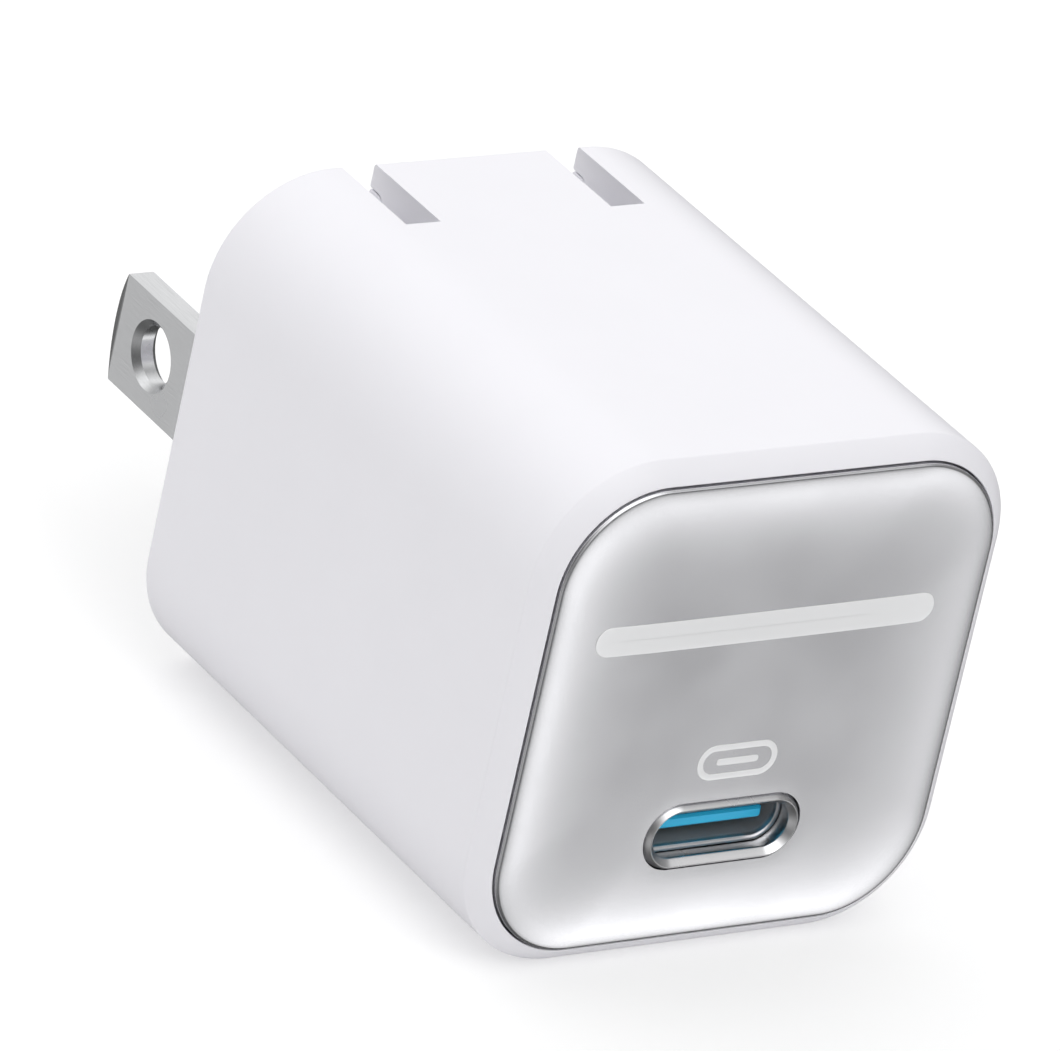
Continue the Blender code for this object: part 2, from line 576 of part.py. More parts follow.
bobbin = finish(rod(3.15, 6.20, (TX, -18.05, TZ), axis=1, steps=20), "transformer_bobbin", BOBBIN)
join(bobbin, prism(4.65, 5.6, -21.20, -20.55, z=TZ, x=TX, corner=1.0, steps=2), "flange_front")
join(bobbin, prism(4.65, 5.6, -15.55, -14.90, z=TZ, x=TX, corner=1.0, steps=2), "flange_rear")
cut(bobbin, rod(2.60, 12.0, (TX, -18.05, TZ), axis=1, steps=20), "bore")
winding = finish(rod(4.50, 4.80, (TX, -18.05, TZ), axis=1, steps=24), "transformer_winding", TAPE)
cut(winding, rod(3.27, 8.0, (TX, -18.05, TZ), axis=1, steps=20), "bore")

# ---------------------------------------------------------------- main board and what cools it
finish(bar(-11.0, 11.0, -28.4, -9.6, -6.40, -5.60, axis=2, corner=1.0, steps=2), "main_board", BOARD)
finish(bar(-4.0, 4.0, -20.5, -12.5, -7.45, -6.55, axis=2, corner=0.3, steps=1), "gan_power_chip", CHIP)
finish(bar(-3.0, 3.0, -27.0, -22.0, -7.45, -6.55, axis=2, corner=0.3, steps=1), "sync_rectifier_chip", CHIP)
finish(bar(-6.5, 6.5, -27.8, -10.6, -8.00, -7.60, axis=2, corner=1.0, steps=2), "thermal_pad", PAD)

liner_half = cavity_half - 0.22
insulation_liner = finish(prism(liner_half, liner_half, -28.9, -9.6, corner=BODY_CORNER - WALL - 0.22, steps=5), "insulation_liner", LINER)
cut(insulation_liner, prism(liner_half - 0.25, liner_half - 0.25, -35, -5, corner=BODY_CORNER - WALL - 0.47, steps=5), "inside")
spread_half = liner_half - 0.40
heat_spreader = finish(prism(spread_half, spread_half, -28.0, -10.0, corner=BODY_CORNER - WALL - 0.62, steps=5), "heat_spreader", SPREADER)
cut(heat_spreader, prism(spread_half - 0.35, spread_half - 0.35, -35, -5, corner=BODY_CORNER - WALL - 0.97, steps=5), "inside")
cut(heat_spreader, box_mesh(-20, 20, -40, 0, -20, -2.5), "open_below")
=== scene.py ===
"""Looks of the compact folding-plug USB-C wall charger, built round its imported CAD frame.

Row frame: +Z up, +Y out of the plug face along the blades, +X right seen from the front, metres.
Lengths in this file are in millimetres and are scaled by MM.
"""

import json
import math

import bmesh
import bpy
from mathutils import Matrix, Vector


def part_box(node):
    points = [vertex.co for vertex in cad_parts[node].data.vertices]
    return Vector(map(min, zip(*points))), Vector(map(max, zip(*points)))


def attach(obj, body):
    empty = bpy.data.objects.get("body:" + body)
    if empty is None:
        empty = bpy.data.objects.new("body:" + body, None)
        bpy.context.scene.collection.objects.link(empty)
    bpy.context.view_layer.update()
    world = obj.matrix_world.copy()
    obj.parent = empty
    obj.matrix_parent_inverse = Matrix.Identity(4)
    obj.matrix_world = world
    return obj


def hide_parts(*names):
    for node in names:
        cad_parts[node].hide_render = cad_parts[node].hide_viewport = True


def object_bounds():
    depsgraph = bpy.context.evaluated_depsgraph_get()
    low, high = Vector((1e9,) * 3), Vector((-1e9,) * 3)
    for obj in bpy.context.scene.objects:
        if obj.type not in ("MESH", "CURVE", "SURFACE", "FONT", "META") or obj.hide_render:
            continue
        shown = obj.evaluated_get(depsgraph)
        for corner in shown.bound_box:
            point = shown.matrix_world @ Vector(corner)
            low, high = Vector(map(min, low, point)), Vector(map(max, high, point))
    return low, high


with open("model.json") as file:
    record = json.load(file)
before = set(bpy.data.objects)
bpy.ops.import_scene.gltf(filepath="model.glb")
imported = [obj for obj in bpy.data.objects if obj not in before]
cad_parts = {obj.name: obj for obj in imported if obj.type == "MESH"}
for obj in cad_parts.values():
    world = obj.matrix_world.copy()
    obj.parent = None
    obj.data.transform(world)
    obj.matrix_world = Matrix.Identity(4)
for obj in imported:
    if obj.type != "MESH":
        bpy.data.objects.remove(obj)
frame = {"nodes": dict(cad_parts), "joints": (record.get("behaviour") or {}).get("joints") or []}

MM = 0.001
scene = bpy.context.scene
cad_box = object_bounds()


def box_mm(node):
    low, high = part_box(node)
    return low / MM, high / MM


# ================================================================ sizes, read from the CAD nodes, with the rest given as numbers
shell_lo, shell_hi = box_mm("main_shell")
HALF = (shell_hi.x - shell_lo.x) / 2
BODY_Z = (shell_hi.z + shell_lo.z) / 2
RIM_Y = shell_lo.y
CORNER = 0.45 * HALF
cover_lo, cover_hi = box_mm("rear_cover")
COVER_HALF = (cover_hi.x - cover_lo.x) / 2
COVER_BACK_Y = cover_lo.y
panel_lo, panel_hi = box_mm("front_panel")
PANEL_HALF = (panel_hi.x - panel_lo.x) / 2
PANEL_BACK_Y, PANEL_FRONT_Y = panel_hi.y, panel_lo.y
PANEL_CORNER = 5.47
PANEL_RISE = 0.40
SEAM_Y = PANEL_FRONT_Y + 0.28
frame_lo, frame_hi = box_mm("front_frame")
GROOVE_HALF = (frame_hi.x - frame_lo.x) / 2 + 0.12
LEDGE_Y = -30.70
WALL = 1.90
CAVITY_HALF = HALF - WALL
ring_lo, ring_hi = box_mm("port_trim_ring")
PORT_Z = (ring_lo.z + ring_hi.z) / 2
RING_W, RING_H = (ring_hi.x - ring_lo.x) / 2, (ring_hi.z - ring_lo.z) / 2
RING_FRONT_Y, RING_BACK_Y = ring_lo.y, ring_hi.y
usb_lo, usb_hi = box_mm("usb_c_shell")
USB_W, USB_H = (usb_hi.x - usb_lo.x) / 2, (usb_hi.z - usb_lo.z) / 2
USB_FRONT_Y, USB_BACK_Y = usb_lo.y, usb_hi.y
USB_WALL = 0.30
tongue_lo, tongue_hi = box_mm("usb_c_tongue")
TONGUE_W, TONGUE_H = 3.345, 0.35
TONGUE_FRONT_Y, TONGUE_BACK_Y = tongue_lo.y, tongue_hi.y
blade_lo, blade_hi = box_mm("blade_right")
BLADE_X = (blade_lo.x + blade_hi.x) / 2
BLADE_THICK = blade_hi.x - blade_lo.x
BLADE_TIP_Y, HEEL_Y = blade_hi.y, blade_lo.y
BLADE_TOP_Z = blade_hi.z
hinge = frame["joints"][0]
HINGE_Y, HINGE_Z = hinge["pos_m"][1] / MM, hinge["pos_m"][2] / MM
BLADE_HALF = BLADE_TOP_Z
BLADE_CROWN = 1.00
HOLE_Y, HOLE_R, SINK_R = 13.52, 1.62, 2.00
SLOT_HALF = 1.05
SLOT_DEEP = 6.60
SLOT_FLOOR_Z = -3.40
POCKET_WALL, POCKET_FLOOR_Z = 0.90, 3.90


# ================================================================ materials
def begin(name):
    mat = bpy.data.materials.new(name)
    mat.use_nodes = True
    return mat, mat.node_tree, mat.node_tree.nodes["Principled BSDF"]


def coords(tree, scale=(1.0, 1.0, 1.0), turn=(0.0, 0.0, 0.0)):
    where = tree.nodes.new("ShaderNodeTexCoord")
    mapping = tree.nodes.new("ShaderNodeMapping")
    mapping.inputs["Scale"].default_value = scale
    mapping.inputs["Rotation"].default_value = turn
    tree.links.new(where.outputs["Object"], mapping.inputs["Vector"])
    return mapping.outputs["Vector"]


def noise(tree, vector, size, detail=2.0, rough=0.5):
    made = tree.nodes.new("ShaderNodeTexNoise")
    made.inputs["Scale"].default_value = 1.0 / (size * MM)
    made.inputs["Detail"].default_value = detail
    made.inputs["Roughness"].default_value = rough
    tree.links.new(vector, made.inputs["Vector"])
    return made.outputs["Fac"]


def spread(tree, value, low, high, near=0.3, far=0.7):
    made = tree.nodes.new("ShaderNodeMapRange")
    made.inputs["From Min"].default_value = near
    made.inputs["From Max"].default_value = far
    made.inputs["To Min"].default_value = low
    made.inputs["To Max"].default_value = high
    tree.links.new(value, made.inputs["Value"])
    return made.outputs["Result"]


def tint(tree, value, first, second):
    made = tree.nodes.new("ShaderNodeMix")
    made.data_type = "RGBA"
    made.inputs["A"].default_value = (*first, 1.0)
    made.inputs["B"].default_value = (*second, 1.0)
    tree.links.new(value, made.inputs["Factor"])
    return made.outputs["Result"]


def bump(tree, value, strength, distance, under=None):
    made = tree.nodes.new("ShaderNodeBump")
    made.inputs["Strength"].default_value = strength
    made.inputs["Distance"].default_value = distance * MM
    tree.links.new(value, made.inputs["Height"])
    if under is not None:
        tree.links.new(under, made.inputs["Normal"])
    return made.outputs["Normal"]


def shade(rgb, by):
    return tuple(min(1.0, max(0.0, c * by)) for c in rgb)


def moulded(name, rgb, rough, vary=0.03, grain=0.10, grain_depth=0.0015, specular=0.5, coat=0.0, metallic=0.0):
    """Moulded plastic, ceramic, rubber or film: slight colour drift, a fine grain and an uneven sheen."""
    mat, tree, shader = begin(name)
    vector = coords(tree)
    drift = noise(tree, vector, 6.0, 3.0)
    fine = noise(tree, vector, grain, 2.0, 0.6)
    tree.links.new(tint(tree, spread(tree, drift, 0, 1), shade(rgb, 1 - vary), shade(rgb, 1 + vary)), shader.inputs["Base Color"])
    tree.links.new(spread(tree, fine, rough * 0.9, rough * 1.1), shader.inputs["Roughness"])
    tree.links.new(bump(tree, fine, 0.5, grain_depth), shader.inputs["Normal"])
    shader.inputs["Specular IOR Level"].default_value = specular
    shader.inputs["Coat Weight"].default_value = coat
    shader.inputs["Metallic"].default_value = metallic
    return mat


def worked(name, rgb, rough, along=None, streak=0.05, depth=0.0006, vary=0.05, anisotropic=0.0):
    """Bare or plated metal: fine drawing or brushing marks along one axis, with a little colour drift."""
    mat, tree, shader = begin(name)
    scale = [1.0, 1.0, 1.0]
    if along is not None:
        scale[along] = 0.03
    vector = coords(tree, tuple(scale))
    marks = noise(tree, vector, streak, 3.0, 0.6)
    drift = noise(tree, coords(tree), 4.0, 2.0)
    tree.links.new(tint(tree, spread(tree, marks, 0, 1), shade(rgb, 1 - vary), shade(rgb, 1 + vary)), shader.inputs["Base Color"])
    tree.links.new(spread(tree, drift, rough * 0.88, rough * 1.12), shader.inputs["Roughness"])
    tree.links.new(bump(tree, marks, 0.4, depth), shader.inputs["Normal"])
    shader.inputs["Metallic"].default_value = 1.0
    shader.inputs["Anisotropic"].default_value = anisotropic
    return mat


def satin_silver(name):
    """Metallic paint: fine bright and dark flakes with a satin finish."""
    mat, tree, shader = begin(name)
    vector = coords(tree)
    flake = noise(tree, vector, 0.055, 2.0, 0.6)
    cloud = noise(tree, vector, 5.0, 2.0)
    fine = noise(tree, vector, 0.11, 2.0, 0.5)
    base = tint(tree, spread(tree, flake, 0, 1, 0.25, 0.75), (0.70, 0.70, 0.72), (0.80, 0.80, 0.825))
    tree.links.new(base, shader.inputs["Base Color"])
    rough = spread(tree, cloud, 0.20, 0.225)
    tree.links.new(rough, shader.inputs["Roughness"])
    tree.links.new(bump(tree, fine, 0.25, 0.0006), shader.inputs["Normal"])
    shader.inputs["Metallic"].default_value = 0.95
    shader.inputs["Specular IOR Level"].default_value = 0.5
    return mat


SHELL = moulded("shell_white", (0.862, 0.855, 0.893), 0.40, vary=0.006, grain=0.13, grain_depth=0.0022)
COVER = moulded("cover_white", (0.852, 0.844, 0.890), 0.46, vary=0.006, grain=0.11, grain_depth=0.0030)
SILVER = satin_silver("panel_silver")
MARK = moulded("mark_print", (0.86, 0.865, 0.875), 0.24, vary=0.01, grain=0.08, grain_depth=0.0006, metallic=0.3)
FRAME = moulded("frame_grey", (0.10, 0.10, 0.11), 0.5)
CHROME = worked("ring_chrome", (0.78, 0.78, 0.79), 0.27, streak=0.12, depth=0.0003, vary=0.02)
BLUE = moulded("tongue_blue", (0.030, 0.60, 1.0), 0.32, vary=0.02, grain=0.09, grain_depth=0.0008)
SPRING = worked("spring_steel", (0.60, 0.60, 0.61), 0.35, along=0, streak=0.06, depth=0.0006)
GOLD = worked("contact_gold", (0.92, 0.70, 0.30), 0.2, along=1)
NICKEL = worked("blade_nickel", (0.655, 0.66, 0.67), 0.25, along=1, streak=0.045, depth=0.0012, vary=0.06)
NYLON = moulded("hub_nylon", (0.80, 0.80, 0.78), 0.5)
COPPER = worked("spring_copper", (0.80, 0.47, 0.27), 0.3, along=1)
CHIP = moulded("chip_black", (0.028, 0.028, 0.030), 0.5, vary=0.10, grain=0.06)
CAN = moulded("capacitor_sleeve", (0.055, 0.055, 0.075), 0.32, vary=0.08)
POLYMER = moulded("capacitor_polymer", (0.70, 0.57, 0.21), 0.45)
FILM = moulded("film_yellow", (0.84, 0.70, 0.17), 0.4, coat=0.2)
DISC_BLUE = moulded("disc_blue", (0.045, 0.19, 0.55), 0.38, coat=0.2)
FUSE = moulded("fuse_ceramic", (0.72, 0.68, 0.61), 0.35)
FERRITE = moulded("ferrite_grey", (0.11, 0.11, 0.115), 0.62, vary=0.12, grain=0.2, grain_depth=0.006)
TAPE = moulded("winding_tape", (0.90, 0.73, 0.11), 0.35, coat=0.3)
BOBBIN = moulded("bobbin_black", (0.045, 0.045, 0.047), 0.45)
PAD = moulded("pad_grey", (0.44, 0.46, 0.49), 0.8, vary=0.08, grain=0.3, grain_depth=0.01)
LINER = moulded("liner_film", (0.88, 0.86, 0.78), 0.28)
SPREADER = worked("spreader_aluminium", (0.72, 0.72, 0.74), 0.33, along=1)


def circuit_board(name):
    """Solder mask with paler traces showing under it and a fine weave."""
    mat, tree, shader = begin(name)
    vector = coords(tree)
    brick = tree.nodes.new("ShaderNodeTexVoronoi")
    brick.feature = "DISTANCE_TO_EDGE"
    brick.inputs["Scale"].default_value = 1.0 / (2.2 * MM)
    tree.links.new(vector, brick.inputs["Vector"])
    trace = spread(tree, brick.outputs["Distance"], 1.0, 0.0, 0.03, 0.06)
    tree.links.new(tint(tree, trace, (0.018, 0.155, 0.075), (0.05, 0.29, 0.15)), shader.inputs["Base Color"])
    weave = noise(tree, vector, 0.15, 1.0)
    tree.links.new(spread(tree, weave, 0.36, 0.46), shader.inputs["Roughness"])
    tree.links.new(bump(tree, weave, 0.3, 0.004), shader.inputs["Normal"])
    return mat


def wound(name, rgb):
    """Enamelled wire: rows of round turns across the winding, the colour painted darker in the grooves between turns
    and a little lighter on their crowns, painted shade and highlight.
    """
    mat, tree, shader = begin(name)
    vector = coords(tree)
    wave = tree.nodes.new("ShaderNodeTexWave")
    wave.bands_direction = "Y"
    wave.inputs["Scale"].default_value = 1.0 / (0.45 * MM) / (2 * math.pi)
    wave.inputs["Distortion"].default_value = 0.4
    tree.links.new(vector, wave.inputs["Vector"])
    # Painted shade in the grooves between turns and a painted highlight on their crowns, following the same bands as
    # the bump.
    tree.links.new(tint(tree, wave.outputs["Fac"], shade(rgb, 0.55), shade(rgb, 1.1)), shader.inputs["Base Color"])
    tree.links.new(bump(tree, wave.outputs["Fac"], 0.6, 0.06), shader.inputs["Normal"])
    tree.links.new(spread(tree, noise(tree, vector, 0.3), 0.26, 0.38), shader.inputs["Roughness"])
    shader.inputs["Metallic"].default_value = 0.6
    return mat


def drawn_tube(name, front_y):
    """Drawn steel with fine drawing marks; further into the port the base colour is painted darker, painted shade of
    the port's recess, and the wall turns rougher and less metallic.
    """
    mat, tree, shader = begin(name)
    vector = coords(tree, (1.0, 0.03, 1.0))
    marks = noise(tree, vector, 0.06, 3.0, 0.6)
    split = tree.nodes.new("ShaderNodeSeparateXYZ")
    tree.links.new(coords(tree), split.inputs["Vector"])
    # 0 at the front edge, 1 from 0.40 mm in: how far the painted shade of the port's recess has darkened the steel.
    deep = spread(tree, split.outputs["Y"], 0.0, 1.0, (front_y + 0.09) * MM, (front_y + 0.40) * MM)
    steel_tone = tint(tree, spread(tree, marks, 0, 1), (0.74, 0.74, 0.75), (0.82, 0.82, 0.83))
    painted_shade_steel = tree.nodes.new("ShaderNodeMix")
    painted_shade_steel.data_type = "RGBA"
    tree.links.new(deep, painted_shade_steel.inputs["Factor"])
    tree.links.new(steel_tone, painted_shade_steel.inputs["A"])
    # The painted shade colour of the deep wall inside the port.
    painted_shade_steel.inputs["B"].default_value = (0.44, 0.42, 0.42, 1.0)
    tree.links.new(painted_shade_steel.outputs["Result"], shader.inputs["Base Color"])
    tree.links.new(spread(tree, deep, 0.30, 0.55, 0.0, 1.0), shader.inputs["Roughness"])
    tree.links.new(bump(tree, marks, 0.4, 0.0006), shader.inputs["Normal"])
    tree.links.new(spread(tree, deep, 1.0, 0.35, 0.0, 1.0), shader.inputs["Metallic"])
    return mat


BOARD = circuit_board("board_green")
STEEL = drawn_tube("port_steel", USB_FRONT_Y)
WIRE = wound("winding_enamel", (0.62, 0.25, 0.09))


# ================================================================ shapes
def rounded_loop(half_x, half_z, radius, arc=20, run=1):
    """(x, z) points round a rectangle with rounded corners, anticlockwise seen with x right and z up."""
    radius = min(radius, half_x, half_z)
    cx, cz = half_x - radius, half_z - radius
    corners = ((cx, cz), (-cx, cz), (-cx, -cz), (cx, -cz))
    points = []
    for k, (ox, oz) in enumerate(corners):
        for j in range(arc + 1):
            angle = math.pi / 2 * (k + j / arc)
            points.append((ox + radius * math.cos(angle), oz + radius * math.sin(angle)))
        angle = math.pi / 2 * (k + 1)
        nx, nz = corners[(k + 1) % 4]
        start = (ox + radius * math.cos(angle), oz + radius * math.sin(angle))
        end = (nx + radius * math.cos(angle), nz + radius * math.sin(angle))
        for j in range(1, run):
            t = j / run
            points.append((start[0] + (end[0] - start[0]) * t, start[1] + (end[1] - start[1]) * t))
    return points


def stadium_loop(half_x, half_z, arc=20, run=1):
    """(x, z) points round a slot with semicircular ends."""
    straight = max(half_x - half_z, 1e-4)
    points = []
    for side in (1, -1):
        for j in range(2 * arc + 1):
            angle = -math.pi / 2 + math.pi * j / (2 * arc)
            points.append((side * (straight + half_z * math.cos(angle)), side * half_z * math.sin(angle)))
        for j in range(1, run):
            t = j / run
            points.append((side * (straight - 2 * straight * t), side * half_z))
    return points


def ring_at(loop, y, z=0.0, x=0.0):
    return [Vector((x + px, y, z + pz)) for px, pz in loop]


def loft(rings, cap_first=False, cap_last=False, closed=False):
    bm = bmesh.new()
    rows = [[bm.verts.new(p) for p in ring] for ring in rings]
    count = len(rows[0])
    pairs = list(zip(rows, rows[1:]))
    if closed:
        pairs.append((rows[-1], rows[0]))
    for first, second in pairs:
        for k in range(count):
            n = (k + 1) % count
            bm.faces.new((first[k], first[n], second[n], second[k]))
    if cap_first:
        bm.faces.new(rows[0])
    if cap_last:
        bm.faces.new(rows[-1])
    return bm


def block(x0, x1, y0, y1, z0, z1):
    bm = bmesh.new()
    bmesh.ops.create_cube(bm, size=1.0)
    bmesh.ops.scale(bm, vec=(x1 - x0, y1 - y0, z1 - z0), verts=bm.verts)
    bmesh.ops.translate(bm, vec=((x0 + x1) / 2, (y0 + y1) / 2, (z0 + z1) / 2), verts=bm.verts)
    return bm


def cylinder(radius, length, centre, steps=72, radius_end=None, turn=None):
    """A cylinder or cone along X."""
    bm = bmesh.new()
    bmesh.ops.create_cone(
        bm, cap_ends=True, cap_tris=False, segments=steps, radius1=radius,
        radius2=radius if radius_end is None else radius_end, depth=length,
        matrix=Matrix.Translation(Vector(centre)) @ (turn or Matrix.Rotation(math.pi / 2, 4, "Y")),
    )
    return bm


def to_object(bm, name, mat=None):
    bmesh.ops.recalc_face_normals(bm, faces=bm.faces)
    bmesh.ops.scale(bm, vec=(MM, MM, MM), verts=bm.verts)
    mesh = bpy.data.meshes.new(name)
    bm.to_mesh(mesh)
    bm.free()
    made = bpy.data.objects.new(name, mesh)
    scene.collection.objects.link(made)
    if mat is not None:
        mesh.materials.append(mat)
    return made


def boolean(target, operation, bm):
    helper = to_object(bm, target.name + "_tool")
    step = target.modifiers.new("boolean", "BOOLEAN")
    step.operation = operation
    step.solver = "EXACT"
    step.object = helper
    bake(target)
    bpy.data.objects.remove(helper, do_unlink=True)


def bake(target):
    """Replaces the object's mesh by what its modifiers make of it."""
    bpy.context.view_layer.update()
    graph = bpy.context.evaluated_depsgraph_get()
    mesh = bpy.data.meshes.new_from_object(target.evaluated_get(graph), preserve_all_data_layers=True, depsgraph=graph)
    old = target.data
    target.modifiers.clear()
    target.data = mesh
    name = old.name
    bpy.data.meshes.remove(old)
    mesh.name = name


def soften(target, width=0.0, steps=3, angle=40.0, sharp=60.0):
    """Rounds the edges and shades the piece smooth with its flats kept flat."""
    if width:
        step = target.modifiers.new("edges", "BEVEL")
        step.width = width * MM
        step.segments = steps
        step.limit_method = "ANGLE"
        step.angle_limit = math.radians(angle)
        step.use_clamp_overlap = True
        step.miter_outer = "MITER_ARC"
        bake(target)
    target.data.shade_smooth()
    target.data.set_sharp_from_angle(angle=math.radians(sharp))
    step = target.modifiers.new("flats", "WEIGHTED_NORMAL")
    step.mode = "FACE_AREA_WITH_ANGLE"
    step.keep_sharp = True
    bake(target)


def split_flats(target, most=4):
    """Cuts the large many-sided flats into triangles, so that a flat with a hole in it stays exact."""
    bm = bmesh.new()
    bm.from_mesh(target.data)
    bmesh.ops.triangulate(bm, faces=[f for f in bm.faces if len(f.verts) > most], quad_method="BEAUTY", ngon_method="EAR_CLIP")
    bm.to_mesh(target.data)
    bm.free()


def place(piece, body, slot, *nodes):
    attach(piece, body)
    if nodes:
        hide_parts(*nodes)
    return piece


# ---------------------------------------------------------------- outer shell
def arc_profile(centre, radius, start, end, steps):
    return [
        (centre[0] + radius * math.cos(math.radians(start + (end - start) * k / steps)),
         centre[1] + radius * math.sin(math.radians(start + (end - start) * k / steps)))
        for k in range(steps + 1)
    ]


CREASE, CREASE_TURN = 0.25, 34.0        # radius and turn of the small crease where the rim's chamfer starts
EDGE_ROUND = 0.05                       # rounding of the rim's inner edge
RIM_CORNER_INSET = 0.17                 # the corners' centre moves in by this much across the chamfer
REBATE_HALF = COVER_HALF + 0.10
SEAM_ROUND = 0.55
BODY_ARC = 28


def body_ring(half, y, corner=None):
    corner = CORNER - (HALF - half) if corner is None else corner
    return ring_at(rounded_loop(half, half, corner, arc=BODY_ARC), y, z=BODY_Z)


rings = []
for half, y in arc_profile((HALF - 0.20, -0.20), 0.20, 90, 0, 5):
    rings.append(body_ring(half, y))
# The front rim is a slightly convex chamfer between a small crease and a fine inner edge.
turn = math.radians(CREASE_TURN)
crease_end = HALF - CREASE * (1 - math.cos(turn))
inner_half = GROOVE_HALF + EDGE_ROUND * (1 + math.sin(turn))
span = math.cos(turn) - math.sin(turn)
bulge = (crease_end - inner_half) / span
inner_y = RIM_Y + EDGE_ROUND * (1 - math.cos(turn))
crease_y = inner_y + bulge * span + CREASE * math.sin(turn)
rim = arc_profile((HALF - CREASE, crease_y), CREASE, 0, -CREASE_TURN, 5)
arc_centre = (crease_end - bulge * math.cos(turn), crease_y - CREASE * math.sin(turn) + bulge * math.sin(turn))
rim += arc_profile(arc_centre, bulge, -CREASE_TURN, CREASE_TURN - 90, 8)[1:]
edge_centre = (inner_half - EDGE_ROUND * math.sin(turn), inner_y + EDGE_ROUND * math.cos(turn))
rim += arc_profile(edge_centre, EDGE_ROUND, CREASE_TURN - 90, -180, 5)[1:]
for half, y in rim:
    across = min(1.0, max(0.0, (crease_end - half) / (crease_end - GROOVE_HALF)))
    rings.append(body_ring(half, y, half - (HALF - CORNER) + RIM_CORNER_INSET * across))
rings.append(body_ring(GROOVE_HALF, LEDGE_Y, GROOVE_HALF - (HALF - CORNER) + RIM_CORNER_INSET))
rings.append(body_ring(CAVITY_HALF, LEDGE_Y))
for half, y in arc_profile((CAVITY_HALF, COVER_BACK_Y - 0.05 + SEAM_ROUND), SEAM_ROUND, -90, 0, 6):
    rings.append(body_ring(half, y))
for half, y in arc_profile((REBATE_HALF + 0.12, -0.12), 0.12, 180, 90, 4):
    rings.append(body_ring(half, y))
shell = to_object(loft(rings, closed=True), "main_shell_body", SHELL)
for side in (-1, 1):
    x = side * BLADE_X
    boolean(shell, "UNION", block(x - SLOT_HALF - POCKET_WALL, x + SLOT_HALF + POCKET_WALL, -SLOT_DEEP - POCKET_WALL,
                                  COVER_BACK_Y - 0.12, POCKET_FLOOR_Z, BODY_Z + CAVITY_HALF + 0.9))
for side in (-1, 1):
    x = side * BLADE_X
    boolean(shell, "DIFFERENCE", block(x - SLOT_HALF, x + SLOT_HALF, -SLOT_DEEP, 2.0, POCKET_FLOOR_Z - 1.0, BODY_Z + HALF + 1.0))
soften(shell, 0.07, 3, angle=50.0)
place(shell, "housing", "shell_white", "main_shell")

# ---------------------------------------------------------------- plug-side cover
cover_corner = CORNER - (HALF - COVER_HALF)


def cover_ring(half, y):
    return ring_at(rounded_loop(half, half, cover_corner + half - COVER_HALF, arc=BODY_ARC), y, z=BODY_Z)


rings = [cover_ring(half, y) for half, y in arc_profile((COVER_HALF - 0.14, -0.14), 0.14, 90, 0, 4)]
rings += [cover_ring(half, y) for half, y in arc_profile((COVER_HALF - SEAM_ROUND + 0.05, COVER_BACK_Y + SEAM_ROUND - 0.05), SEAM_ROUND - 0.05, 0, -90, 6)]
cover = to_object(loft(rings, cap_first=True, cap_last=True), "rear_cover_plate", COVER)
for side in (-1, 1):
    x = side * BLADE_X
    boolean(cover, "DIFFERENCE", block(x - SLOT_HALF, x + SLOT_HALF, COVER_BACK_Y - 1.0, 1.0, SLOT_FLOOR_Z, BODY_Z + HALF + 1.0))
boolean(cover, "DIFFERENCE", cylinder(1.05, 21.8, (0, HINGE_Y, HINGE_Z), steps=48))
soften(cover, 0.07, 3, angle=50.0)
place(cover, "housing", "cover_white", "rear_cover")

# ---------------------------------------------------------------- front panel
EDGE_ROLL = 0.14
PORT_DISH, PORT_DISH_REACH = 0.012, 0.50


def panel_rise(s):
    """Height of the pillow above its edge, s running from 0 at the middle to 1 at the edge."""
    return PANEL_RISE * (0.75 * (1 - s ** 4) + 0.25 * (1 - s ** 20))


def panel_reach(x, z):
    """Which scaled copy of the panel's outline passes through a point: 0 in the middle, 1 at the edge."""
    a, b = abs(x), abs(z - BODY_Z)
    straight = PANEL_HALF - PANEL_CORNER
    flat = max(a, b) / PANEL_HALF
    if min(a, b) <= straight * flat:
        return flat
    lead = 2 * straight ** 2 - PANEL_CORNER ** 2
    middle = 2 * straight * (a + b)
    root = math.sqrt(max(0.0, middle ** 2 - 4 * lead * (a * a + b * b)))
    found = [s for s in ((middle - root) / (2 * lead), (middle + root) / (2 * lead))
             if s > 0 and a >= straight * s - 1e-6 and b >= straight * s - 1e-6]
    return min(found) if found else flat


def port_gap(x, z):
    """Distance from the port ring's outline, outside it."""
    across = max(abs(x) - (RING_W - RING_H), 0.0)
    return max(0.0, math.hypot(across, z - PORT_Z) - RING_H)


def dish(x, z):
    """The plate is drawn back a little round the port ring."""
    return PORT_DISH * math.exp(-port_gap(x, z) / PORT_DISH_REACH)


def panel_y(x, z):
    return SEAM_Y - panel_rise(panel_reach(x, z)) + dish(x, z)


def panel_ring(inset, run=36):
    s = 1 - inset / PANEL_HALF
    roll = EDGE_ROLL - math.sqrt(max(0.0, EDGE_ROLL ** 2 - (EDGE_ROLL - inset) ** 2)) if inset < EDGE_ROLL else 0.0
    loop = rounded_loop(PANEL_HALF * s, PANEL_HALF * s, PANEL_CORNER * s, arc=BODY_ARC, run=run)
    return [Vector((x, SEAM_Y - panel_rise(s) + roll + dish(x, BODY_Z + z), BODY_Z + z)) for x, z in loop]


